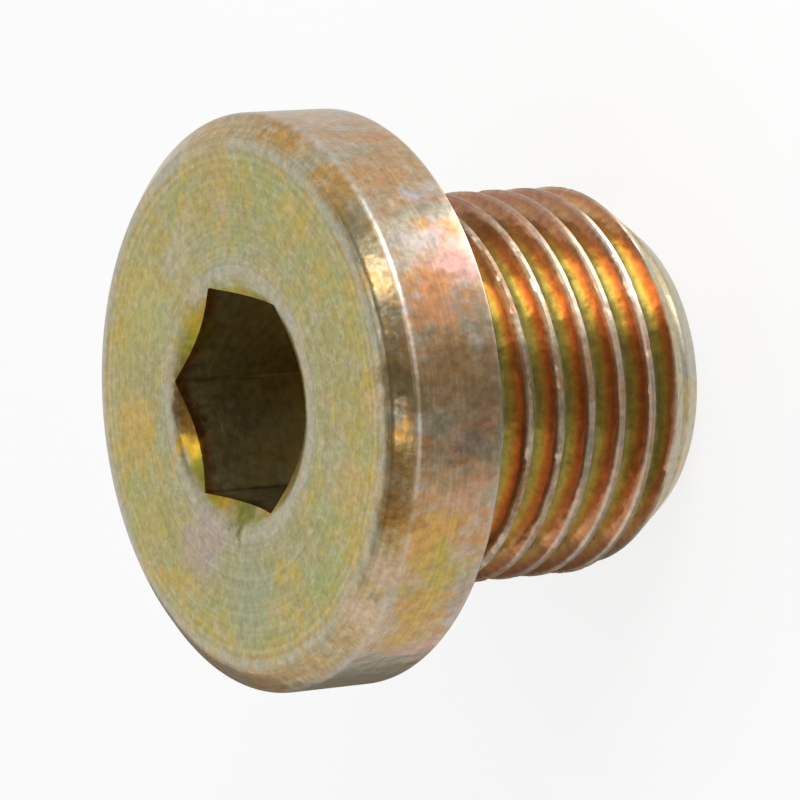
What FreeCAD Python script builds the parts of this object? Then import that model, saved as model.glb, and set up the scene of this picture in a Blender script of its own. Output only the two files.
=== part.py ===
"""Hex socket plug with a collar and a G 1/8 parallel pipe thread. All sizes are in millimetres.

The plug is one steel piece, made the way such plugs are made: a blank is turned, with its bevels,
its thread relief and its drilled hole, then the hexagon is broached and the thread is cut.
It stands on its flat tip. Z is its axis, Z = 0 is the tip's end face, and the socket opens upwards.
Two corners of the hexagon lie on the Y axis, so a key's size across flats is measured along X.
"""
import FreeCAD, Part
import math
import os

Vector = FreeCAD.Vector

# Thread, G 1/8 A: a right-hand parallel pipe thread with flanks 55 degrees apart. The whole thread
# is cut a little under its full size, inside the standard's limits, so that it turns into a port.
thread_diameter = 9.728
thread_undersize = 0.1
threads_per_inch = 28
flank_angle = 55.0

# Shank: from the tip's end face to the underside of the collar
shank_length = 8.0
tip_face_diameter = 7.7
tip_bevel_length = 1.4

# Relief under the collar, where the thread runs out. It dips a little into the collar's underside,
# so the flat land begins outside the crests and takes all of a sealing ring that passes over them.
relief_width = 0.9
relief_below_root = 0.2
relief_slope_angle = 45.0
relief_corner = 0.2
relief_into_collar = 0.12
land_outside_crests = 0.1

# Collar
collar_diameter = 14.0
collar_height = 2.9
collar_bevel_width = 0.6
collar_bevel_angle = 42.0
face_rounding = 0.6
ridge_rounding = 0.12
underside_break = 0.1

# Hexagon socket: the key's size across flats, and the room left round the key
key_size = 5.0
key_room = 0.05
socket_depth = 5.0
countersink_diameter = 6.05
countersink_angle = 120.0
countersink_rounding = 0.8
drill_inside_flats = 0.05
drill_past_socket = 0.4
drill_point_angle = 118.0

# Values worked out from the sizes above
pitch = 25.4 / threads_per_inch
half_flank = math.radians(flank_angle / 2)
sharp_thread_height = pitch / (2 * math.tan(half_flank))
thread_depth = sharp_thread_height * 2 / 3
crest_radius = (thread_diameter - thread_undersize) / 2
root_radius = crest_radius - thread_depth
collar_radius = collar_diameter / 2
overall_height = shank_length + collar_height
socket_flats = key_size + key_room
drill_radius = socket_flats / 2 - drill_inside_flats


def flank_half_width(radius):
    """Half of the groove's width between its two straight flanks, at this radius."""
    sharp_root_radius = root_radius - (sharp_thread_height - thread_depth) / 2
    return (radius - sharp_root_radius) * math.tan(half_flank)


def rounded_outline(corners):
    """A closed wire in the XZ plane from corners of (radius, height, rounding).

    Each rounding is an arc that touches both of its straight neighbours. Where a wall is too short
    for it, the arc is limited to just under half of that wall.
    """
    spots = [Vector(radius, 0, height) for radius, height, rounding in corners]
    edges = []
    ends = []
    for index, (radius, height, rounding) in enumerate(corners):
        spot = spots[index]
        before = spots[index - 1] - spot
        after = spots[(index + 1) % len(spots)] - spot
        if rounding == 0:
            ends.append((spot, spot))
            continue
        half_corner = before.getAngle(after) / 2
        reach = rounding / math.tan(half_corner)
        reach = min(reach, 0.48 * before.Length, 0.48 * after.Length)
        before.normalize()
        after.normalize()
        start = spot + before * reach
        end = spot + after * reach
        inward = before + after
        inward.normalize()
        to_arc = reach / math.cos(half_corner) - reach * math.tan(half_corner)
        edges.append(Part.Arc(start, spot + inward * to_arc, end).toShape())
        ends.append((start, end))
    for index, (start, end) in enumerate(ends):
        next_start = ends[(index + 1) % len(ends)][0]
        edges.append(Part.makeLine(end, next_start))
    return Part.Wire(Part.__sortEdges__(edges))


def turned_blank():
    """The plug as it leaves the lathe, before the hexagon and the thread: half of its section,
    from the axis at the tip, up the outside, over the collar and down the drilled hole."""
    relief_radius = root_radius - relief_below_root
    relief_slope = (crest_radius - relief_radius) / math.tan(math.radians(relief_slope_angle))
    bevel_drop = collar_bevel_width * math.tan(math.radians(collar_bevel_angle))
    countersink_radius = countersink_diameter / 2
    countersink_drop = (countersink_radius - drill_radius) / math.tan(math.radians(countersink_angle / 2))
    drill_depth = socket_depth + drill_past_socket
    point_drop = drill_radius / math.tan(math.radians(drill_point_angle / 2))
    section = rounded_outline([
        (0, 0, 0),
        (tip_face_diameter / 2, 0, 0),
        (crest_radius, tip_bevel_length, 0),
        (crest_radius, shank_length - relief_width - relief_slope, 0),
        (relief_radius, shank_length - relief_width, 0),
        (relief_radius, shank_length + relief_into_collar - relief_corner, 0),
        (relief_radius + relief_corner, shank_length + relief_into_collar, 0),
        (crest_radius + land_outside_crests, shank_length, 0),
        (collar_radius - underside_break, shank_length, 0),
        (collar_radius, shank_length + underside_break, 0),
        (collar_radius, overall_height - bevel_drop, ridge_rounding),
        (collar_radius - collar_bevel_width, overall_height, face_rounding),
        (countersink_radius, overall_height, countersink_rounding),
        (drill_radius, overall_height - countersink_drop, 0),
        (drill_radius, overall_height - drill_depth, 0),
        (0, overall_height - drill_depth - point_drop, 0),
    ])
    return Part.Face(section).revolve(Vector(0, 0, 0), Vector(0, 0, 1), 360)


def hexagon_broach():
    """The hexagonal tool that squares the drilled hole up to the key's six flats."""
    corner_radius = socket_flats / math.sqrt(3)
    corners = []
    for side in range(6):
        angle = math.radians(90 + 60 * side)
        corners.append(Vector(corner_radius * math.cos(angle), corner_radius * math.sin(angle), 0))
    outline = Part.Face(Part.makePolygon(corners + corners[:1]))
    outline.translate(Vector(0, 0, overall_height - socket_depth))
    return outline.extrude(Vector(0, 0, socket_depth + collar_height))


def thread_groove():
    """The helical groove between the crests of the right-hand thread, as one long solid.

    Its section has two straight flanks and a narrow flat root. It starts a pitch below the tip, in
    the open, and ends in the middle of the relief, as the threading tool does. Past the crests it
    opens out a little further, but not so far that two turns meet, so the crests stay flat.
    """
    mouth_radius = crest_radius + (sharp_thread_height - thread_depth) / 4
    mouth_half = flank_half_width(mouth_radius)
    root_half = flank_half_width(root_radius)
    start = -pitch
    corners = [
        Vector(root_radius, 0, start - root_half),
        Vector(mouth_radius, 0, start - mouth_half),
        Vector(mouth_radius, 0, start + mouth_half),
        Vector(root_radius, 0, start + root_half),
    ]
    section = Part.makePolygon(corners + corners[:1])
    path = Part.makeLongHelix(pitch, shank_length - relief_width / 2 - start, root_radius, 0)
    path.translate(Vector(0, 0, start))
    return Part.Wire(path.Edges).makePipeShell([section], True, True)


def make_plug():
    """The finished plug: the turned blank, less the hexagon and the thread's groove."""
    return turned_blank().cut(hexagon_broach()).cut(thread_groove())


plug = make_plug()
os.makedirs("parts", exist_ok=True)
plug.Solids[0].exportStep("parts/plug_body.step")
print("plug_body: solids", len(plug.Solids), "valid", plug.isValid(), "volume", round(plug.Volume, 2), "mm3")
box = plug.optimalBoundingBox()
print("height", round(box.ZLength, 3), "widths", round(box.XLength, 3), round(box.YLength, 3))
print("root radius", round(root_radius, 4), "thread depth", round(thread_depth, 4), "pitch", round(pitch, 4))
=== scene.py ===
# %% [markdown]
# # A threaded plug with a golden chromate finish
# The part is a hex socket plug, 14 mm across its collar and 10.9 mm high. It is one piece of steel,
# turned on a lathe, broached for its key and threaded, then zinc plated and dipped in a chromate bath
# that leaves a thin film with shifting gold, olive, orange and pink tones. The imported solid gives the
# frame: the plug stands on its tip, Z is its axis, and the scene is in metres. The lesson builds the
# finer skin of the plug, its finish, the light and the camera.

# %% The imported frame
import math

import bpy
import numpy as np
from mathutils import Matrix, Vector


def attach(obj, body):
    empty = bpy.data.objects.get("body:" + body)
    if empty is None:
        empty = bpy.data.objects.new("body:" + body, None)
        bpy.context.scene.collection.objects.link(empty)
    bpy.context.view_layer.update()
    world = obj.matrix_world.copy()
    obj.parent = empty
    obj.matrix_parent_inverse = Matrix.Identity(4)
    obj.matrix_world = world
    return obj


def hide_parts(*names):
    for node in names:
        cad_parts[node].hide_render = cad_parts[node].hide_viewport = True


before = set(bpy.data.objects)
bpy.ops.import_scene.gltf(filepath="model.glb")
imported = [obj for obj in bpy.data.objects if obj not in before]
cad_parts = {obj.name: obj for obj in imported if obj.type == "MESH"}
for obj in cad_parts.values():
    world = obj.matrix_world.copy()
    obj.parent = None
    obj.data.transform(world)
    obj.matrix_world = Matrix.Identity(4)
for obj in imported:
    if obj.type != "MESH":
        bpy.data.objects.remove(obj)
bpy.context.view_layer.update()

# %% [markdown]
# ## The camera
# The photo looks down on the head from a little over 30 degrees, and the camera is rolled so that the
# plug's axis lies level in the picture. A long lens a little over ten centimetres away gives the mild
# perspective of the photo. The camera is set from its position and its three axes, which is simpler to
# read than three angles when a camera is rolled.

# %% The camera
MM = 0.001
camera_data = bpy.data.cameras.new("camera")
camera_data.lens = 252.87
camera_data.sensor_width = 36.0
camera_data.clip_start = 0.01
camera_data.clip_end = 20.0
camera = bpy.data.objects.new("camera", camera_data)
bpy.context.scene.collection.objects.link(camera)
right = Vector((0.02371, -0.55808, -0.82944))
forward = Vector((-0.15365, 0.81777, -0.55464)).normalized()
right = (right - forward * right.dot(forward)).normalized()
up = right.cross(forward)
place = Matrix((right, up, -forward)).transposed().to_4x4()
place.translation = Vector((20.93, -112.46, 82.47)) * MM
camera.matrix_world = place
bpy.context.scene.camera = camera
print("camera", [round(c / MM, 1) for c in place.translation], "mm from the tip")

# %% [markdown]
# ## The sizes
# The same sizes as in the solid, in millimetres. The profile is written as corners from the centre of the
# tip, up the outside, over the collar and down into the socket. Each corner has a rounding, because no
# turned or plated edge is truly sharp, and it is the rounding that catches the light. The relief under
# the collar begins with a slope of 45 degrees, which leaves the thread's crests at relief_start.

# %% Sizes of the shank, in millimetres
pitch = 25.4 / 28
half_flank = math.radians(27.5)
crest_radius = 4.814
thread_depth = pitch / (2 * math.tan(half_flank)) * 2 / 3
root_radius = crest_radius - thread_depth
tip_radius = 3.85
tip_bevel_length = 1.4
tip_slope = (crest_radius - tip_radius) / tip_bevel_length
relief_start = 6.3192
relief_width = 0.9
relief_radius = root_radius - 0.2
relief_dip = 0.12
print("pitch", round(pitch, 4), "root radius", round(root_radius, 4))

# %% Sizes of the collar and the socket, in millimetres
underside = 8.0
top = 10.9
land_radius = crest_radius + 0.1
collar_radius = 7.0
bevel_width = 0.6
face_radius = collar_radius - bevel_width
ridge_height = top - bevel_width * math.tan(math.radians(42))
flats = 5.05
socket_floor = 5.9
drill_radius = 2.4
drill_past_floor = 0.4
countersink_radius = 3.025
rim_rounding = 0.8
rim_start = countersink_radius + rim_rounding * math.tan(math.radians(15))
print("the face is flat from", round(rim_start, 2), "to", round(face_radius, 2), "mm off the axis")

# %% [markdown]
# ## Turned rings
# A turned body is a profile spun round an axis. Spinning it by hand, ring by ring, keeps the rows where
# they are wanted, and lets each ring carry a number: how far along the profile it lies. The finish reads
# that number later, because a plated film changes from face to edge to wall along that path. There are
# two lines, because the thread between thread_low and thread_high is made in another way. Both keep a
# pole radius off the axis, where a fan of triangles closes the end.

# %% Rounding the corners of a profile
def rounded(corners, pieces=5):
    """Points along a profile of (radius, height, rounding), each corner replaced by a short arc.
    An arc takes at most 0.48 of the stretch on either side, so that two arcs never meet."""
    spots = [Vector((radius, height)) for radius, height, rounding in corners]
    points = []
    for index, spot in enumerate(spots):
        rounding = corners[index][2]
        if rounding == 0 or index in (0, len(corners) - 1):
            points.append(spot)
            continue
        before = spots[index - 1] - spot
        after = spots[index + 1] - spot
        half = before.angle(after) / 2
        reach = min(rounding / math.tan(half), 0.48 * before.length, 0.48 * after.length)
        before.normalize()
        after.normalize()
        centre = spot + (before + after).normalized() * (reach / math.cos(half))
        start = spot + before * reach - centre
        turn = start.angle_signed(spot + after * reach - centre)
        for piece in range(pieces + 1):
            points.append(centre + Matrix.Rotation(-turn * piece / pieces, 2) @ start)
    return points


def with_steps(points, step):
    """The same line with extra points, so that no stretch is longer than the step."""
    line = [points[0]]
    for spot in points[1:]:
        start = line[-1]
        count = max(1, math.ceil((spot - start).length / step))
        line.extend(start.lerp(spot, (k + 1) / count) for k in range(count))
    return line


quarter = rounded([(1, 0, 0), (1, 1, 1), (0, 1, 0)])
print("a rounded corner has", len(quarter) - 2, "points")

# %% The two turned stretches, below and above the thread
thread_low = 0.45
thread_high = 6.95
pole_radius = 0.02
tip_line = with_steps(rounded([
    (pole_radius, 0, 0),
    (tip_radius, 0, 0.12),
    (tip_radius + thread_low * tip_slope, thread_low, 0),
]), 0.6)
head_line = with_steps(rounded([
    (crest_radius + relief_start - thread_high, thread_high, 0),
    (relief_radius, underside - relief_width, 0.1),
    (relief_radius, underside - 0.08, 0.05),
    (relief_radius + 0.2, underside + relief_dip, 0.05),
    (land_radius, underside, 0.04),
    (collar_radius, underside, 0.08),
    (collar_radius, ridge_height, 0.2),
    (face_radius, top, 0.6),
    (rim_start, top, 0),
]), 0.5)
print("rings in the tip", len(tip_line), "and in the head", len(head_line))

# %% [markdown]
# ## The hexagon socket
# The socket was drilled, countersunk and then broached. The countersink is a cone with a rounded rim, so
# the flat walls of the hexagon cut it in six scallops: they reach deeper at the middle of a flat than at
# a corner. The rings go on from the rim with a radius that changes round the ring. On the real plug the
# broach ran a tenth of a millimetre off the middle, so the scallops differ, and here it does so too. The
# corners of a broached hexagon are a little round, which a high power mean of its flats gives.

# %% Rings that turn from round to hexagonal
columns = 432
angles = np.arange(columns) * 2 * math.pi / columns
off_middle = Vector((0.10, 0.05))
turned = math.radians(-0.9)
corner_power = 300
hexagon = np.zeros(columns)
for side in range(6):
    facing = side * math.pi / 3 + turned
    distance = flats / 2 + off_middle.x * math.cos(facing) + off_middle.y * math.sin(facing)
    hexagon += np.clip(np.cos(angles - facing) / distance, 0, None) ** corner_power
hexagon = hexagon ** (-1 / corner_power)
print("hexagon across corners", round(2 * hexagon.max(), 2), "mm")


def mouth_height(radius):
    """Height of the rim and the countersink at this radius: an arc first, then a slope of 30 degrees."""
    rise = np.clip(rim_rounding ** 2 - (rim_start - radius) ** 2, 0, None)
    arc = top - rim_rounding + np.sqrt(rise)
    slope = top - (countersink_radius - radius) * math.tan(math.radians(30))
    return np.where(radius > rim_start - rim_rounding / 2, arc, slope)


# %% The rings of the mouth, the walls and the drilled hole
mouth_rings = []
for share in (0.1, 0.2, 0.3, 0.4, 0.5, 0.6, 0.75, 0.9, 1.0):
    ring_radius = rim_start + (hexagon - rim_start) * share
    mouth_rings.append((ring_radius, mouth_height(ring_radius)))
wall_top = mouth_rings[-1][1]
wall_rings = []
for share in (0.01, 0.1, 0.3, 0.5, 0.7, 0.9, 1.0):
    wall_rings.append((hexagon, wall_top + (socket_floor - wall_top) * share))
point_drop = drill_radius / math.tan(math.radians(59))
drill_line = [
    (drill_radius, 0),
    (drill_radius, -drill_past_floor),
    (1.5, -drill_past_floor - point_drop * 0.4),
    (pole_radius, -drill_past_floor - point_drop),
]
for ring_radius, drop in drill_line:
    wall_rings.append((np.full(columns, ring_radius), np.full(columns, socket_floor + drop)))
print("rings in the socket", len(mouth_rings) + len(wall_rings))

# %% [markdown]
# ## One mesh from the rings
# Each ring becomes one row of vertices, and neighbouring rows are joined with four-sided faces. The
# running length along the profile goes into a float attribute named profile, in millimetres, which starts
# at the centre of the tip. Round the socket's mouth it follows the radius, so the pale rim is as wide at
# a corner of the hexagon as at the middle of a flat. Past the mouth it skips a little, so that the tones
# of the countersink never reach the walls.

# %% Rows of vertices and faces
def as_rings(line):
    """The points of a profile as full rings of one radius and one height."""
    return [(np.full(columns, spot.x), np.full(columns, spot.y)) for spot in line]


def running_length(rings, first):
    """How far along the profile each ring lies, measured at the first column."""
    spots = np.array([(ring_radius[0], height[0]) for ring_radius, height in rings])
    steps = np.linalg.norm(np.diff(spots, axis=0), axis=1)
    return first + np.concatenate([[0], np.cumsum(steps)])


def stack(rings, offset):
    """Vertices and faces of a stack of rings, with faces that point outwards."""
    verts = []
    for ring_radius, height in rings:
        verts.append(np.stack([ring_radius * np.cos(angles), ring_radius * np.sin(angles), height], axis=1))
    faces = []
    for row in range(len(rings) - 1):
        low = offset + row * columns
        high = low + columns
        for j in range(columns):
            k = (j + 1) % columns
            faces.append((low + j, low + k, high + k, high + j))
    return np.concatenate(verts), faces


tip_rings = as_rings(tip_line)
head_rings = as_rings(head_line) + mouth_rings + wall_rings
tip_verts, tip_faces = stack(tip_rings, 0)
head_verts, head_faces = stack(head_rings, len(tip_verts))
verts = np.concatenate([tip_verts, head_verts])
print("vertices in the rings", len(verts), "faces", len(tip_faces) + len(head_faces))

# %% How far along the profile each vertex lies
past_mouth = 0.25
tip_lengths = running_length(tip_rings, pole_radius)
thread_start = float(tip_lengths[-1])
head_start = thread_start + thread_high - thread_low
head_lengths = running_length(head_rings, head_start)
head_rows = [np.full(columns, value) for value in head_lengths]
first_mouth = len(head_line)
first_wall = first_mouth + len(mouth_rings)
for row in range(first_mouth, first_wall):
    head_rows[row] = head_lengths[first_mouth - 1] + rim_start - head_rings[row][0]
for row in range(first_wall, len(head_rings)):
    head_rows[row] = head_rows[row] + past_mouth
pole_lengths = [0, head_rows[-1][0] + pole_radius]
lengths = np.concatenate([np.repeat(tip_lengths, columns), *head_rows, pole_lengths])
profile_end = float(lengths.max())
print("profile length", round(profile_end, 2), "mm")

# %% The turned body as a mesh
last = len(verts)
drill_tip = socket_floor - drill_past_floor - point_drop - 0.01
poles = np.array([[0, 0, 0], [0, 0, drill_tip]])
fans = []
for j in range(columns):
    k = (j + 1) % columns
    fans.append((last, k, j))
    fans.append((last + 1, last - columns + j, last - columns + k))
mesh = bpy.data.meshes.new("chromated_plug")
mesh.from_pydata((np.concatenate([verts, poles]) * MM).tolist(), [], tip_faces + head_faces + fans)
mesh.attributes.new("profile", "FLOAT", "POINT").data.foreach_set("value", lengths.astype(np.float32))
plug = bpy.data.objects.new("chromated_plug", mesh)
bpy.context.scene.collection.objects.link(plug)
print("vertices", len(mesh.vertices))

# %% [markdown]
# ## A small helper for nodes
# Node trees grow long when every node takes five lines. This one function adds a node, sets its
# properties and fills or links its inputs, and it serves geometry, shader and world trees alike.

# %% The node helper and the colour helper
MATH = "ShaderNodeMath"
VECTOR = "ShaderNodeVectorMath"
NOISE = "ShaderNodeTexNoise"
RANGE = "ShaderNodeMapRange"


def add(tree, kind, inputs=(), stops=(), **settings):
    """Adds a node. Inputs are given in order, by name or by number: a node, a socket or a plain value.
    Stops are the positions and colours of a colour ramp."""
    node = tree.nodes.new(kind)
    for name, value in settings.items():
        setattr(node, name, value)
    for index, (position, colour) in enumerate(stops):
        elements = node.color_ramp.elements
        if index == 0:
            elements.remove(elements[1])
            elements[0].position = position
            elements[0].color = colour
        else:
            elements.new(position).color = colour
    pairs = inputs.items() if isinstance(inputs, dict) else enumerate(inputs)
    for key, value in pairs:
        if isinstance(value, bpy.types.Node):
            value = value.outputs[0]
        if isinstance(value, bpy.types.NodeSocket):
            tree.links.new(value, node.inputs[key])
        else:
            node.inputs[key].default_value = value
    return node


def linear(code):
    """An sRGB hex colour such as #b5984d as a linear colour with alpha."""
    parts = [int(code[i:i + 2], 16) / 255 for i in (1, 3, 5)]
    return [p / 12.92 if p <= 0.04045 else ((p + 0.055) / 1.055) ** 2.4 for p in parts] + [1.0]


print("white stays", linear("#ffffff"))

# %% [markdown]
# ## The thread, by a rule
# A screw thread is a rule: the groove's middle climbs one pitch for each turn. Modelling it as a swept
# profile gives long thin faces and an awkward start and end. Here Geometry Nodes lay a grid round the
# shank instead. Each row climbs with the helix, so rows follow crest and root and never cross them, and
# rows that would pass the thread's ends are held there. At each vertex the rule gives the radius: the
# flanks, cut off at the crest and at the root with soft corners, and cut by the tip's bevel and by the
# relief under the collar. Noise with a fixed seed nicks the crests, as handling does.

# %% The tree and its named inputs
tree = bpy.data.node_groups.new("thread_round_shank", "GeometryNodeTree")
tree.is_modifier = True
tree.interface.new_socket("Geometry", in_out="INPUT", socket_type="NodeSocketGeometry")
tree.interface.new_socket("Geometry", in_out="OUTPUT", socket_type="NodeSocketGeometry")
named_inputs = {
    "Columns": "Int", "Rows per Turn": "Int", "Pitch": "Float", "Crest Radius": "Float",
    "Root Radius": "Float", "Low": "Float", "High": "Float", "Nick Depth": "Float", "Seed": "Float",
    "Material": "Material",
}
for name, kind in named_inputs.items():
    tree.interface.new_socket(name, in_out="INPUT", socket_type="NodeSocket" + kind)
given = add(tree, "NodeGroupInput").outputs
print("inputs of the thread's tree", list(named_inputs))

# %% A grid with one row for each step of the helix
span = add(tree, MATH, (given["High"], given["Low"]), operation="SUBTRACT")
turns = add(tree, MATH, (span, given["Pitch"]), operation="DIVIDE")
turns = add(tree, MATH, (turns, 1.0), operation="ADD")
rows = add(tree, MATH, (turns, given["Rows per Turn"]), operation="MULTIPLY")
rows = add(tree, MATH, (rows,), operation="CEIL")
grid = add(tree, "GeometryNodeMeshGrid", {
    "Size X": 1.0,
    "Size Y": 1.0,
    "Vertices X": add(tree, MATH, (given["Columns"], 1.0), operation="ADD"),
    "Vertices Y": add(tree, MATH, (rows, 1.0), operation="ADD"),
})
flat = add(tree, "ShaderNodeSeparateXYZ", (add(tree, "GeometryNodeInputPosition"),))
around = add(tree, MATH, (flat.outputs["X"], 0.5), operation="ADD")
along = add(tree, MATH, (flat.outputs["Y"], 0.5), operation="ADD")
print("nodes that make the grid", len(tree.nodes))

# %% The height of each vertex climbs with the helix
row_span = add(tree, MATH, (rows, given["Pitch"]), operation="MULTIPLY")
row_span = add(tree, MATH, (row_span, given["Rows per Turn"]), operation="DIVIDE")
lowest = add(tree, MATH, (given["Low"], given["Pitch"]), operation="SUBTRACT")
climbed = add(tree, MATH, (around, given["Pitch"], lowest), operation="MULTIPLY_ADD")
height = add(tree, MATH, (along, row_span, climbed), operation="MULTIPLY_ADD")
height = add(tree, "ShaderNodeClamp", (height, given["Low"], given["High"]))
angle = add(tree, MATH, (around, 2 * math.pi), operation="MULTIPLY")
cosine = add(tree, MATH, (angle,), operation="COSINE")
sine = add(tree, MATH, (angle,), operation="SINE")
outward = add(tree, "ShaderNodeCombineXYZ", (cosine, sine, 0.0))
on_crest = add(tree, VECTOR, {0: outward, "Scale": given["Crest Radius"]}, operation="SCALE")
upright = add(tree, "ShaderNodeCombineXYZ", (0.0, 0.0, height))
spot = add(tree, VECTOR, (on_crest, upright), operation="ADD")
print("nodes with the height", len(tree.nodes))

# %% The radius of each vertex: flanks, crest, root, bevel and relief
uneven_by = 0.05
root_flat_half = pitch / 12
nick_from, nick_full = 0.56, 0.80
crest_softness = 0.05
root_softness = 0.09
cut_softness = 0.03
wobble = add(tree, NOISE, {"Vector": spot, "W": given["Seed"], "Scale": 1.3, "Detail": 3.0},
             noise_dimensions="4D")
nicks = add(tree, NOISE, {"Vector": spot, "W": given["Seed"], "Scale": 3.6, "Detail": 4.0},
            noise_dimensions="4D")
phase = add(tree, MATH, (height, given["Pitch"]), operation="DIVIDE")
phase = add(tree, MATH, (phase, around), operation="SUBTRACT")
phase = add(tree, MATH, (phase, 0.5), operation="ADD")
phase = add(tree, MATH, (phase,), operation="FRACT")
phase = add(tree, MATH, (phase, 0.5), operation="SUBTRACT")
phase = add(tree, MATH, (phase,), operation="ABSOLUTE")
uneven = add(tree, MATH, (wobble, uneven_by, -uneven_by / 2 - root_flat_half), operation="MULTIPLY_ADD")
from_root = add(tree, MATH, (phase, given["Pitch"], uneven), operation="MULTIPLY_ADD")
steepness = 1 / math.tan(half_flank)
flank = add(tree, MATH, (from_root, steepness, given["Root Radius"]), operation="MULTIPLY_ADD")
nick = add(tree, RANGE, (nicks, nick_from, nick_full, 0.0, 1.0))
nick = add(tree, MATH, (nick, given["Nick Depth"]), operation="MULTIPLY")
crest = add(tree, MATH, (given["Crest Radius"], nick), operation="SUBTRACT")
radius = add(tree, MATH, (flank, crest, crest_softness), operation="SMOOTH_MIN")
radius = add(tree, MATH, (radius, given["Root Radius"], root_softness), operation="SMOOTH_MAX")
on_bevel = add(tree, MATH, (height, tip_slope, tip_radius), operation="MULTIPLY_ADD")
on_relief = add(tree, MATH, (crest_radius + relief_start, height), operation="SUBTRACT")
radius = add(tree, MATH, (radius, on_bevel, cut_softness), operation="SMOOTH_MIN")
radius = add(tree, MATH, (radius, on_relief, cut_softness), operation="SMOOTH_MIN")
print("nodes with the radius", len(tree.nodes))

# %% Place, attribute, join and weld
weld = 4e-7
target = add(tree, VECTOR, {0: outward, "Scale": radius}, operation="SCALE")
target = add(tree, VECTOR, (target, upright), operation="ADD")
target = add(tree, VECTOR, {0: target, "Scale": MM}, operation="SCALE")
length = add(tree, MATH, (height, thread_start - thread_low), operation="ADD")
captured = add(tree, "GeometryNodeStoreNamedAttribute",
               {"Geometry": grid.outputs["Mesh"], "Name": "profile", "Value": length},
               data_type="FLOAT", domain="POINT")
moved = add(tree, "GeometryNodeSetPosition", {"Geometry": captured, "Position": target})
whole = add(tree, "GeometryNodeJoinGeometry")
tree.links.new(given["Geometry"], whole.inputs[0])
tree.links.new(moved.outputs[0], whole.inputs[0])
welded = add(tree, "GeometryNodeMergeByDistance", {"Geometry": whole, "Distance": weld})
real = add(tree, "GeometryNodeRealizeInstances", {"Geometry": welded})
coated = add(tree, "GeometryNodeSetMaterial", {"Geometry": real, "Material": given["Material"]})
add(tree, "NodeGroupOutput", (coated,))
print("nodes in the thread's tree", len(tree.nodes))

# %% [markdown]
# ## The finish
# Yellow iridescent chromate over zinc: a metal surface under a clear film a fraction of a micrometre
# thick. Where the film is thin, on edges and crests, it looks pale. Where it is thicker it goes through
# olive, gold and orange to red-brown. Thin Film on the shader could work such colours out, but they would
# be hard to steer. So the finish is a metal whose colour comes from three ramps along the profile: the
# common tone, a cooler tone and a warmer tone.

# %% Where the edges lie along the profile
edges = {
    "start": 0.0,
    "tip edge": tip_radius,
    "bevel top": thread_start + tip_bevel_length - thread_low,
    "thread end": head_start,
    "end": profile_end,
}
corners = {
    "land": (land_radius, underside),
    "back edge": (collar_radius, underside),
    "ridge": (collar_radius, ridge_height),
    "face edge": (face_radius, top),
    "rim": (rim_start, top),
}
for name, corner in corners.items():
    gaps = [math.dist(corner, (ring_radius[0], height[0])) for ring_radius, height in head_rings]
    edges[name] = float(head_lengths[int(np.argmin(gaps))])
pale_rim_width = 0.42
edges["scallop"] = edges["rim"] + pale_rim_width
edges["wall"] = float(head_rows[first_wall][0])
print("edges along the profile, in mm", {name: round(value, 2) for name, value in edges.items()})


# %% Three tones along the profile
def tones(rows):
    """Stops for a colour ramp, from rows of an edge, millimetres past that edge and a hex colour."""
    spots = sorted((edges[name] + past, code) for name, past, code in rows)
    return [(min(max(spot / profile_end, 0), 1), linear(code)) for spot, code in spots]


common = tones([
    ("tip edge", -0.25, "#aca58c"), ("tip edge", 0, "#d2ccbc"), ("tip edge", 0.2, "#b8af96"),
    ("bevel top", 0, "#b6ad94"), ("bevel top", 0.2, "#cdbca6"), ("thread end", -0.7, "#cdbca6"),
    ("thread end", 0, "#8a6a34"), ("land", 0, "#b6a98c"), ("back edge", -0.15, "#b0a280"),
    ("back edge", 0, "#c8bba8"), ("back edge", 0.15, "#ae9472"), ("ridge", -0.16, "#ae9472"),
    ("ridge", -0.08, "#aea69c"), ("ridge", 0.06, "#aea69c"), ("ridge", 0.12, "#ac9364"),
    ("face edge", -0.3, "#ac9468"), ("face edge", -0.1, "#a49878"), ("face edge", 0.14, "#aca894"),
    ("face edge", 0.22, "#a8904e"), ("face edge", 0.32, "#a69656"), ("face edge", 0.42, "#b4ae88"),
    ("face edge", 0.52, "#a2965a"), ("face edge", 0.66, "#aaa06e"), ("face edge", 0.9, "#a49a60"),
    ("rim", -0.3, "#a0986a"), ("rim", 0, "#aba58c"), ("scallop", -0.06, "#a9a38a"),
    ("scallop", 0.02, "#a49430"), ("wall", -0.1, "#98782c"), ("wall", 0.08, "#b0642c"),
    ("wall", 0.32, "#c0b688"), ("end", 0, "#b0a078"),
])
cool = tones([
    ("start", 0, "#a4a496"), ("bevel top", 0, "#b0aea0"), ("bevel top", 0.2, "#c4b8b0"),
    ("thread end", 0, "#6f6a48"), ("back edge", -0.2, "#8c8a70"), ("back edge", 0, "#c8c2bc"),
    ("back edge", 0.2, "#a09884"), ("ridge", -0.2, "#a09884"), ("ridge", 0, "#aeaca6"),
    ("ridge", 0.12, "#9a937a"), ("face edge", -0.2, "#948e72"), ("face edge", 0.1, "#a6a492"),
    ("face edge", 0.5, "#9ea062"), ("rim", -0.4, "#9ca070"), ("rim", 0, "#a6a492"),
    ("scallop", 0, "#8c8a38"), ("wall", -0.1, "#8c8038"), ("wall", 0.04, "#a06c34"),
    ("wall", 0.32, "#b4b08a"), ("end", 0, "#a89e80"),
])
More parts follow.
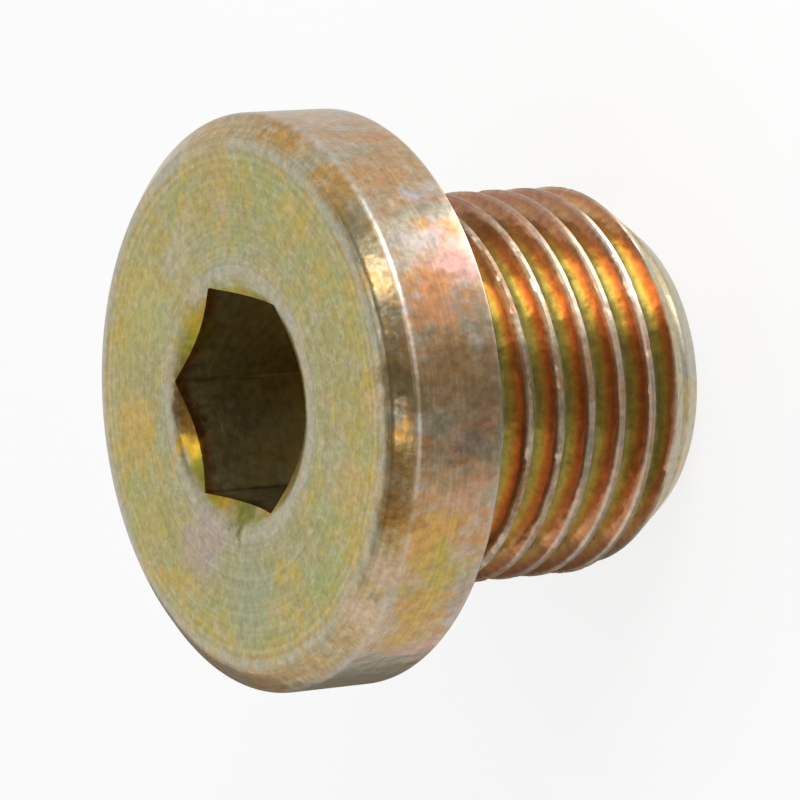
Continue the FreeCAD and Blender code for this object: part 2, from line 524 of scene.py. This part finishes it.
warm = tones([
    ("start", 0, "#b9a272"), ("bevel top", 0, "#bda97c"), ("bevel top", 0.2, "#d6b69c"),
    ("thread end", 0, "#8f5a28"), ("back edge", -0.2, "#a08248"), ("back edge", 0, "#ccb09c"),
    ("back edge", 0.2, "#bb8a5e"), ("ridge", -0.2, "#bb8c58"), ("ridge", 0, "#b49c80"),
    ("ridge", 0.12, "#b0884e"), ("face edge", -0.2, "#ac8a50"), ("face edge", 0.1, "#b9a880"),
    ("face edge", 0.5, "#b79f52"), ("rim", -0.4, "#b0a05c"), ("rim", 0, "#b0a284"),
    ("scallop", 0, "#a48630"), ("wall", -0.1, "#a47c2c"), ("wall", 0.04, "#b0602a"),
    ("wall", 0.32, "#bcb080"), ("end", 0, "#ac9468"),
])
print("stops in the ramps", len(common), len(cool), len(warm))

# %% Where on the plug a point is
chromate = bpy.data.materials.new("yellow_chromate_over_zinc_on_turned_steel")
chromate.use_nodes = True
tree = chromate.node_tree
tree.nodes.clear()
spot = add(tree, "ShaderNodeTexCoord").outputs["Object"]
spot = add(tree, VECTOR, {0: spot, "Scale": 1 / MM}, operation="SCALE")
parts = add(tree, "ShaderNodeSeparateXYZ", (spot,))
across = add(tree, VECTOR, (spot, (1, 1, 0)), operation="MULTIPLY")
radius = add(tree, VECTOR, (across,), operation="LENGTH").outputs["Value"]
profile = add(tree, "ShaderNodeAttribute", attribute_name="profile").outputs["Fac"]
share = add(tree, MATH, (profile, profile_end), operation="DIVIDE")
cone = add(tree, MATH, (parts.outputs["Z"], tip_slope, tip_radius), operation="MULTIPLY_ADD")
envelope = add(tree, MATH, (cone, crest_radius), operation="MINIMUM")
depth = add(tree, MATH, (envelope, radius), operation="SUBTRACT")
depth = add(tree, MATH, (depth, thread_depth), operation="DIVIDE")
above_tip = add(tree, MATH, (profile, thread_start), operation="GREATER_THAN")
below_head = add(tree, MATH, (profile, head_start), operation="LESS_THAN")
on_shank = add(tree, MATH, (above_tip, below_head), operation="MULTIPLY")
print("nodes that say where a point is", len(tree.nodes))

# %% [markdown]
# ## Patches and veins
# A bath never wets a part evenly, so the film is thicker here and thinner there. An image could show it,
# but would need the surface laid out flat. Noise in millimetres needs no layout: each patch is a noise
# cut off at a level, one to three millimetres wide as on such plugs. Lilac and pink patches show mostly
# on the collar's side. Where the last drops dried they left pale veins, which lie where another noise
# passes through its middle value. The seeds are fixed, so every run gives the same plug. A Mix node has
# sockets of each kind, and they are named by number here: its share is input 0, its plain values are
# inputs 2 and 3, its colours are inputs 6 and 7, and the mixed colour is output 2.

# %% Patches: the three tones mixed by noise
SHARE, VALUE_A, VALUE_B, COLOUR_A, COLOUR_B, COLOUR_OUT = 0, 2, 3, 6, 7, 2
MIX = "ShaderNodeMix"
stretched = add(tree, VECTOR, (spot, (1, 1, 0.6)), operation="MULTIPLY")
tone = add(tree, "ShaderNodeValToRGB", (share,), common).outputs["Color"]
cool_tone = add(tree, "ShaderNodeValToRGB", (share,), cool)
warm_tone = add(tree, "ShaderNodeValToRGB", (share,), warm)
past_back = add(tree, MATH, (profile, edges["back edge"]), operation="GREATER_THAN")
on_collar = add(tree, MATH, (profile, edges["ridge"] + 0.1), operation="LESS_THAN")
on_collar = add(tree, MATH, (on_collar, past_back), operation="MULTIPLY")
vivid = add(tree, RANGE, (on_collar, 0.0, 1.0, 0.3, 0.85))
lilac = linear("#b3aeb0")
pink = linear("#cfa294")
patches = [
    # seed, patches per mm, where the noise starts and ends the patch, tone, strength
    (1.7, 0.75, 0.46, 0.60, cool_tone, 1.0),
    (6.1, 0.90, 0.47, 0.60, warm_tone, 1.0),
    (8.8, 1.20, 0.55, 0.66, lilac, vivid),
    (3.3, 1.00, 0.56, 0.68, pink, vivid),
]
for seed, scale, low, high, other, strength in patches:
    patch = add(tree, NOISE,
                {"Vector": stretched, "W": seed, "Scale": scale, "Detail": 6.0, "Roughness": 0.68},
                noise_dimensions="4D")
    patch = add(tree, RANGE, (patch, low, high, 0.0, strength))
    mixed = add(tree, MIX, {SHARE: patch, COLOUR_A: tone, COLOUR_B: other}, data_type="RGBA")
    tone = mixed.outputs[COLOUR_OUT]
print("nodes with the patches", len(tree.nodes))

# %% Pale veins, where the bath dried in thin lines
vein_strength = 0.38
vein_core, vein_edge = 0.004, 0.034
vein = add(tree, NOISE, {"Vector": spot, "W": 5.2, "Scale": 1.3, "Detail": 5.0, "Roughness": 0.62},
           noise_dimensions="4D")
vein = add(tree, MATH, (vein, 0.5), operation="SUBTRACT")
vein = add(tree, MATH, (vein,), operation="ABSOLUTE")
vein = add(tree, RANGE, (vein, vein_core, vein_edge, vein_strength, 0.0))
before_mouth = add(tree, MATH, (profile, edges["scallop"] - 0.06), operation="LESS_THAN")
vein = add(tree, MATH, (vein, before_mouth), operation="MULTIPLY")
pale = linear("#b8b29a")
mixed = add(tree, MIX, {SHARE: vein, COLOUR_A: tone, COLOUR_B: pale}, data_type="RGBA")
tone = mixed.outputs[COLOUR_OUT]
print("nodes with the veins", len(tree.nodes))

# %% [markdown]
# ## Painted shade in the inner corners
# The six inner corners of the hexagon are painted darker, which is painted shade in the socket's recesses. A
# dark band at a fixed distance from the axis would run along the flats too, so the shader measures how far a
# point is from the nearest of the six corners, seen along the axis.

# %% Painted shade in the inner corners of the hexagon
corner_shade_strength = 0.45
corner_core, corner_edge = 0.02, 0.10
nearest = 1.0
for side in range(6):
    facing = math.pi / 6 + side * math.pi / 3 + turned
    corner = off_middle + Vector((math.cos(facing), math.sin(facing))) * flats / math.sqrt(3)
    away = add(tree, VECTOR, (across, (*corner, 0)), operation="DISTANCE").outputs["Value"]
    nearest = add(tree, MATH, (nearest, away), operation="MINIMUM")
painted_corner_shade = add(tree, RANGE, (nearest, corner_core, corner_edge, corner_shade_strength, 0.0))
in_socket = add(tree, MATH, (profile, edges["wall"]), operation="GREATER_THAN")
painted_corner_shade = add(tree, MATH, (painted_corner_shade, in_socket), operation="MULTIPLY")
# Painted shade: this tone darkens the six inner corners of the socket.
dark = linear("#3a3020")
mixed = add(tree, MIX, {SHARE: painted_corner_shade, COLOUR_A: tone, COLOUR_B: dark}, data_type="RGBA")
tone = mixed.outputs[COLOUR_OUT]
print("nodes with the corners", len(tree.nodes))

# %% [markdown]
# ## The colours in the grooves
# The bath drains from root to crest, so in the thread the film's thickness follows the depth of the
# groove. One more ramp, read by the depth instead of the profile, gives the bands: pale crests, red-brown
# and orange on the flanks, gold lower down and olive at the root. A soft noise moves the bands a little.

# %% Grooves of the thread: the film's colour follows the depth
film = [
    # share of the thread's depth, and the tone there
    (0.0, "#c6b29c"), (0.09, "#c2a084"), (0.16, "#b07a5c"), (0.3, "#c48658"),
    (0.48, "#cca068"), (0.66, "#c6b676"), (0.85, "#b0aa7e"), (1.0, "#968e6e"),
]
shift_by = 0.35
fade_below_bevel = 0.45
shift = add(tree, NOISE, {"Vector": stretched, "W": 9.4, "Scale": 0.5, "Detail": 3.0}, noise_dimensions="4D")
shift = add(tree, MATH, (shift, shift_by, -shift_by / 2), operation="MULTIPLY_ADD")
shift = add(tree, MATH, (shift, depth), operation="MULTIPLY")
film_depth = add(tree, MATH, (depth, shift), operation="ADD")
groove_tone = add(tree, "ShaderNodeValToRGB", (film_depth,), [(reach, linear(code)) for reach, code in film])
in_groove = add(tree, RANGE, (depth, 0.03, 0.1, 0.0, 1.0))
in_groove = add(tree, MATH, (in_groove, on_shank), operation="MULTIPLY")
fade_start = tip_bevel_length - fade_below_bevel
past_bevel = add(tree, RANGE, (parts.outputs["Z"], fade_start, tip_bevel_length, 0.0, 1.0))
in_groove = add(tree, MATH, (in_groove, past_bevel), operation="MULTIPLY")
mixed = add(tree, MIX, {SHARE: in_groove, COLOUR_A: tone, COLOUR_B: groove_tone}, data_type="RGBA")
tone = mixed.outputs[COLOUR_OUT]
print("nodes with the grooves", len(tree.nodes))

# %% [markdown]
# ## Stains and painted light
# The photo shows a few larger marks, and a table puts them in place: each is a ball with a soft edge, given
# by its centre, its radius, its strength and its tone. Most are marks in the film, like those a plug carries
# where it lay against others in the barrel. Some are painted light instead: painted reflection and painted
# shade on the bevel, painted shade in one scallop of the socket, and gold painted highlight where two lamps
# shine. Noise pushes the balls out of shape, so that no mark looks round.

# %% Stains and painted light, placed where the photo shows them
stains_and_painted_light = [
    # X, Y, Z and radius in mm, strength, colour
    (-3.5, 1.4, 10.9, 1.3, 0.7, "#ad9890"), (-4.4, -0.7, 10.9, 1.6, 0.7, "#989c80"),
    (-1.3, 4.6, 10.9, 1.3, 0.7, "#bf9f52"), (-3.4, 4.0, 10.9, 1.2, 0.6, "#aaa05e"),
    (5.6, 1.2, 10.9, 1.2, 0.6, "#b09a62"), (1.8, 4.1, 10.9, 1.4, 0.5, "#aeaa72"),
    (-1.2, -4.8, 10.9, 1.1, 0.6, "#bba168"), (3.4, 2.6, 10.9, 1.0, 0.5, "#b3ac94"),
    (4.1, -5.6, 8.6, 1.1, 0.8, "#d2a49c"), (4.6, -5.3, 9.7, 0.8, 0.6, "#b8b0ac"),
    (3.2, -6.2, 9.5, 1.2, 0.8, "#c2885a"), (1.9, -6.7, 9.4, 1.0, 0.5, "#9c7f58"),
    (0.9, -6.9, 8.7, 0.9, 0.5, "#8e7c60"), (-0.3, -7.0, 9.1, 0.9, 0.7, "#857c6c"),
    (-1.6, -6.9, 9.2, 1.0, 0.6, "#b89a84"), (-2.3, -6.6, 9.8, 1.1, 0.8, "#c29650"),
    (-3.4, -6.1, 9.3, 1.2, 0.8, "#b5a24a"), (-4.6, -5.3, 9.2, 1.3, 0.8, "#bf984c"),
    # At Z 10.65 the balls are painted light on the bevel: the two paler ones, turned away from the camera,
    # are painted reflection, and the three dark brown ones, facing the camera's side, are painted shade.
    (-6.1, -3.4, 9.2, 1.6, 0.7, "#9f9a80"), (-4.4, -5.1, 10.65, 1.0, 0.7, "#c4ac90"),
    (-3.1, -6.0, 10.65, 0.9, 0.7, "#bea68c"), (-1.6, -6.5, 10.65, 0.8, 0.85, "#9a7036"),
    (-0.3, -6.7, 10.65, 0.7, 0.7, "#9c7a42"), (1.5, -6.55, 10.65, 0.9, 0.8, "#87754a"),
    # At Z 10.6, (0.5, -6.7) and (-1.4, 2.4) are painted highlight, gold laid where the glint_front and
    # glint_top lamps shine, and (-2.7, 0.1) is painted shade in the scallop on the -X side.
    (0.5, -6.7, 10.6, 0.45, 0.8, "#cc984c"), (-2.7, 0.1, 10.6, 0.8, 0.9, "#6c6a28"),
    (-1.4, 2.4, 10.6, 0.6, 0.9, "#d2a636"), (1.4, 2.4, 10.6, 0.9, 0.6, "#a6982c"),
    (-0.6, 2.75, 10.55, 0.8, 0.8, "#6e4c2a"), (6.4, -2.9, 8.4, 1.3, 0.5, "#b89668"),
    (6.4, -2.8, 10.0, 1.0, 0.5, "#b3a890"), (4.6, -0.6, 5.8, 2.4, 0.75, "#946a52"),
    (4.6, -0.6, 3.0, 2.4, 0.75, "#946a52"),
]
ragged_by = 2.6
core_share = 0.35
ragged = add(tree, NOISE, {"Vector": spot, "Scale": 1.1, "Detail": 5.0, "Roughness": 0.65})
ragged = add(tree, VECTOR, (ragged.outputs["Color"], (0.5, 0.5, 0.5)), operation="SUBTRACT")
ragged = add(tree, VECTOR, {0: ragged, "Scale": ragged_by}, operation="SCALE")
ragged = add(tree, VECTOR, (ragged, spot), operation="ADD")
for x, y, z, reach, strength, code in stains_and_painted_light:
    away = add(tree, VECTOR, (ragged, (x, y, z)), operation="DISTANCE").outputs["Value"]
    inside = add(tree, RANGE, (away, reach * core_share, reach, strength, 0.0),
                 interpolation_type="SMOOTHSTEP")
    mixed = add(tree, MIX, {SHARE: inside, COLOUR_A: tone, COLOUR_B: linear(code)}, data_type="RGBA")
    tone = mixed.outputs[COLOUR_OUT]
print("stains_and_painted_light", len(stains_and_painted_light), "nodes with the stains", len(tree.nodes))

# %% [markdown]
# ## Grain and turning marks
# Zinc dries with a fine grain, and the lathe leaves faint rings. Real grain is a few hundredths of a
# millimetre wide and would vanish in the picture, so it is drawn at about a fifth of a millimetre. The
# rings are noise along the profile, about a tenth of a millimetre apart. Both vary the tone. A slow wave
# and the grain feed the bump, which breaks up the mirror images as on a turned and plated surface. The
# grooves and the front bevel are smoother than the rest.

# %% Grain and turning marks vary the tone
marks_per_mm = 9.0
grain = add(tree, NOISE, {"Vector": spot, "Scale": 4.5, "Detail": 4.0, "Roughness": 0.65})
marks = add(tree, MATH, (profile, marks_per_mm), operation="MULTIPLY")
marks = add(tree, NOISE, {"W": marks, "Scale": 1.0, "Detail": 3.0}, noise_dimensions="1D")
light_and_dark = add(tree, RANGE, (grain, 0.3, 0.7, 0.78, 1.22))
ringed = add(tree, RANGE, (marks, 0.3, 0.7, 0.93, 1.07))
light_and_dark = add(tree, MATH, (light_and_dark, ringed), operation="MULTIPLY")
tone = add(tree, VECTOR, {0: tone, "Scale": light_and_dark}, operation="SCALE")
print("nodes with the grain", len(tree.nodes))

# %% How rough each zone is
plain_low, plain_high = 0.29, 0.38
shank_roughness = 0.46
groove_roughness = 0.22
bevel_roughness = 0.25
rough = add(tree, RANGE, (grain, 0.3, 0.7, plain_low, plain_high))
rough = add(tree, MIX, {SHARE: on_shank, VALUE_A: rough, VALUE_B: shank_roughness})
rough = add(tree, MIX, {SHARE: in_groove, VALUE_A: rough, VALUE_B: groove_roughness})
past_ridge = add(tree, MATH, (profile, edges["ridge"] + 0.1), operation="GREATER_THAN")
on_bevel = add(tree, MATH, (profile, edges["face edge"] - 0.15), operation="LESS_THAN")
on_bevel = add(tree, MATH, (on_bevel, past_ridge), operation="MULTIPLY")
rough = add(tree, MIX, {SHARE: on_bevel, VALUE_A: rough, VALUE_B: bevel_roughness})
print("nodes with the roughness", len(tree.nodes))

# %% The bump and the shader
bump_height = 0.035
marks_share = 0.15
fine_share = 0.12
waves = add(tree, NOISE, {"Vector": stretched, "Scale": 1.5, "Detail": 2.0, "Roughness": 0.5})
soft_grain = add(tree, NOISE, {"Vector": spot, "Scale": 5.0, "Detail": 1.0})
bumps = add(tree, MATH, (marks, marks_share, soft_grain), operation="MULTIPLY_ADD")
bumps = add(tree, MATH, (bumps, fine_share, waves), operation="MULTIPLY_ADD")
bumps = add(tree, "ShaderNodeBump", {"Strength": 1.0, "Distance": bump_height * MM, "Height": bumps})
shader = add(tree, "ShaderNodeBsdfPrincipled",
             {"Base Color": tone, "Metallic": 1.0, "Roughness": rough, "Normal": bumps})
add(tree, "ShaderNodeOutputMaterial", (shader,))
print("nodes in the finish", len(tree.nodes))

# %% [markdown]
# ## Growing the thread
# The tree is put on the turned body as a modifier. Its inputs are set by their identifiers, and the
# result is turned into a plain mesh, so nothing is left to evaluate later.

# %% The thread joins the turned body
modifier = plug.modifiers.new("thread", "NODES")
modifier.node_group = bpy.data.node_groups["thread_round_shank"]
values = {
    "Columns": columns, "Rows per Turn": 16, "Pitch": pitch, "Crest Radius": crest_radius,
    "Root Radius": root_radius, "Low": thread_low, "High": thread_high, "Nick Depth": 0.05, "Seed": 4.0,
    "Material": chromate,
}
for item in modifier.node_group.interface.items_tree:
    if item.in_out == "INPUT" and item.name in values:
        modifier[item.identifier] = values[item.name]
bpy.context.view_layer.update()
shaped = bpy.data.meshes.new_from_object(plug.evaluated_get(bpy.context.evaluated_depsgraph_get()))
plug.modifiers.clear()
plug.data = shaped
shaped.name = "chromated_plug"
shaped.shade_smooth()
shaped.set_sharp_from_angle(angle=math.radians(40))
print("vertices with the thread", len(shaped.vertices), "materials", len(shaped.materials))

# %% The closed surface is counted, and the plug takes its place
edge_use = np.zeros(len(shaped.edges), int)
corner_edges = np.zeros(len(shaped.loops), int)
shaped.loops.foreach_get("edge_index", corner_edges)
np.add.at(edge_use, corner_edges, 1)
triangles = sum(len(face.vertices) - 2 for face in shaped.polygons)
print("triangles", triangles, "edges not shared by two faces", int((edge_use != 2).sum()))

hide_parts("plug_body")
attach(plug, "root")

# %% [markdown]
# ## The floor, the world and the lamps
# Bright metal shows what stands around it. The plug stands on a white floor under a pale studio sky that
# is white near the horizon and grey overhead. The grey leans a little towards the camera's side, where it
# shades the bevel, and it leaves the far part of the face's edge light. The floor's white comes from its
# own colour for the rays of the camera and of the metal, mixed with real light and shade, so a pale
# shadow stays. Three small softboxes overhead give the glints on the bevel and in the grooves, and a low
# one gives soft light from the side.

# %% The floor
floor_half = 1.5
plain_share = 0.78
floor_corners = [(x * floor_half, y * floor_half, 0) for x, y in ((-1, -1), (1, -1), (1, 1), (-1, 1))]
floor_mesh = bpy.data.meshes.new("floor")
floor_mesh.from_pydata(floor_corners, [], [(0, 1, 2, 3)])
floor = bpy.data.objects.new("floor", floor_mesh)
bpy.context.scene.collection.objects.link(floor)
paper = bpy.data.materials.new("matt_white_paper")
paper.use_nodes = True
tree = paper.node_tree
tree.nodes.clear()
matt = add(tree, "ShaderNodeBsdfPrincipled", {"Base Color": linear("#f6f6f5"), "Roughness": 0.9})
plain = add(tree, "ShaderNodeEmission", {"Color": linear("#ffffff"), "Strength": 1.0})
path = add(tree, "ShaderNodeLightPath").outputs
seen = add(tree, MATH, (path["Is Camera Ray"], path["Is Glossy Ray"]), operation="ADD")
seen = add(tree, MATH, (seen, path["Is Transmission Ray"]), operation="ADD")
seen = add(tree, MATH, (seen, plain_share), operation="MULTIPLY")
both = add(tree, "ShaderNodeMixShader", (seen, matt, plain))
add(tree, "ShaderNodeOutputMaterial", (both,))
floor_mesh.materials.append(paper)
print("floor", 2 * floor_half, "m wide")

# %% The world
world = bpy.data.worlds.new("studio")
bpy.context.scene.world = world
world.use_nodes = True
tree = world.node_tree
tree.nodes.clear()
leaning_up = (0.18, -0.21, 1.0)
direction = add(tree, "ShaderNodeTexCoord").outputs["Generated"]
rise = add(tree, VECTOR, (direction, leaning_up), operation="DOT_PRODUCT").outputs["Value"]
greys = [(0.0, "#ffffff"), (0.71, "#ffffff"), (0.84, "#a2a2a2"), (1.0, "#8c8c8c")]
sky = add(tree, "ShaderNodeValToRGB", (rise,), [(level, linear(code)) for level, code in greys])
background = add(tree, "ShaderNodeBackground", (sky, 1.0))
add(tree, "ShaderNodeOutputWorld", (background,))
print("world nodes", len(tree.nodes))


# %% The lamps
look_at = Vector((0, 0, 6))


def area_lamp(name, width, height, watts, stand):
    """A rectangular lamp that the camera doesn't see. Its sizes are in mm, and the matrix is its stand."""
    lamp = bpy.data.lights.new(name, "AREA")
    lamp.shape = "RECTANGLE"
    lamp.size = width * MM
    lamp.size_y = height * MM
    lamp.energy = watts
    shown = bpy.data.objects.new(name, lamp)
    shown.matrix_world = stand
    shown.visible_camera = False
    bpy.context.scene.collection.objects.link(shown)
    print(name, "at", [round(c / MM) for c in stand.translation], "mm")


def softbox(name, azimuth, elevation, distance, width, height, watts):
    """A lamp that looks at the middle of the plug. Azimuth 0 is +X, angles in degrees, lengths in mm."""
    turn, tilt = math.radians(azimuth), math.radians(elevation)
    heading = Vector((math.cos(tilt) * math.cos(turn), math.cos(tilt) * math.sin(turn), math.sin(tilt)))
    stand = heading.to_track_quat("Z", "Y").to_matrix().to_4x4()
    stand.translation = (heading * distance + look_at) * MM
    area_lamp(name, width, height, watts, stand)


softbox("key_low_side", -31.5, 22, 75, 26, 50, 0.03)
softbox("glint_side", -21, 54, 110, 26, 14, 0.0072)
softbox("glint_front", -98, 61.5, 110, 10, 8, 0.0018)
softbox("glint_top", 20, 74, 110, 8, 8, 0.006)

# %% [markdown]
# ## What the polished sides see
# The collar's side and the thread face the floor near the plug, so the floor paints them. A small light
# panel lies there and gives the bright band down the side. A grey card lies beside it and gives the
# darker middle that shapes a round metal body. Its narrow end runs on round the tip, and a second card
# stands there, so that the lower threads turn dark. The camera doesn't see them, as a photographer would
# crop them out.

# %% The low panel
panel_turn = Matrix.Rotation(math.radians(-29), 4, "Z")
panel_place = Matrix.Translation(Vector((12, 0, 0.1)) * MM)
face_up = Matrix.Rotation(math.pi, 4, "X")
area_lamp("low_panel", 13, 5.5, 0.00067, panel_turn @ panel_place @ face_up)

# %% The grey card, lying and standing
card_lift = Vector((0, 0, 0.02))
lying = []
for card_radius, first, end in ((5.5, -261, -60), (60, -60, -105), (12, -108, -201), (30, -207, -261)):
    step = 3 if end > first else -3
    for degrees in range(first, end + step, step):
        heading = Vector((math.cos(math.radians(degrees)), math.sin(math.radians(degrees)), 0))
        lying.append(heading * card_radius + card_lift)
across_card = Vector((0.629, 0.777, 0))
middle = Vector((-11, 3.4, 0))
standing = []
for along_card, card_height in ((-3.8, 0.1), (7, 0.1), (7, 11.5), (-3.8, 11.5)):
    standing.append(middle + across_card * along_card + Vector((0, 0, card_height)))
card_mesh = bpy.data.meshes.new("grey_card")
card_verts = [corner * MM for corner in lying + standing]
lying_face = tuple(range(len(lying)))
standing_face = tuple(range(len(lying), len(card_verts)))
card_mesh.from_pydata(card_verts, [], [lying_face, standing_face])
card = bpy.data.objects.new("grey_card", card_mesh)
bpy.context.scene.collection.objects.link(card)
card_paper = bpy.data.materials.new("matt_grey_card")
card_paper.use_nodes = True
tree = card_paper.node_tree
tree.nodes.clear()
matt = add(tree, "ShaderNodeBsdfPrincipled", {"Base Color": linear("#a39e94"), "Roughness": 0.9})
add(tree, "ShaderNodeOutputMaterial", (matt,))
card_mesh.materials.append(card_paper)
card.visible_camera = False
card.visible_diffuse = False
card.visible_shadow = False
print("grey card with", len(card_verts), "corners")

# %% The view transform, and the end
bpy.context.scene.view_settings.view_transform = "Standard"
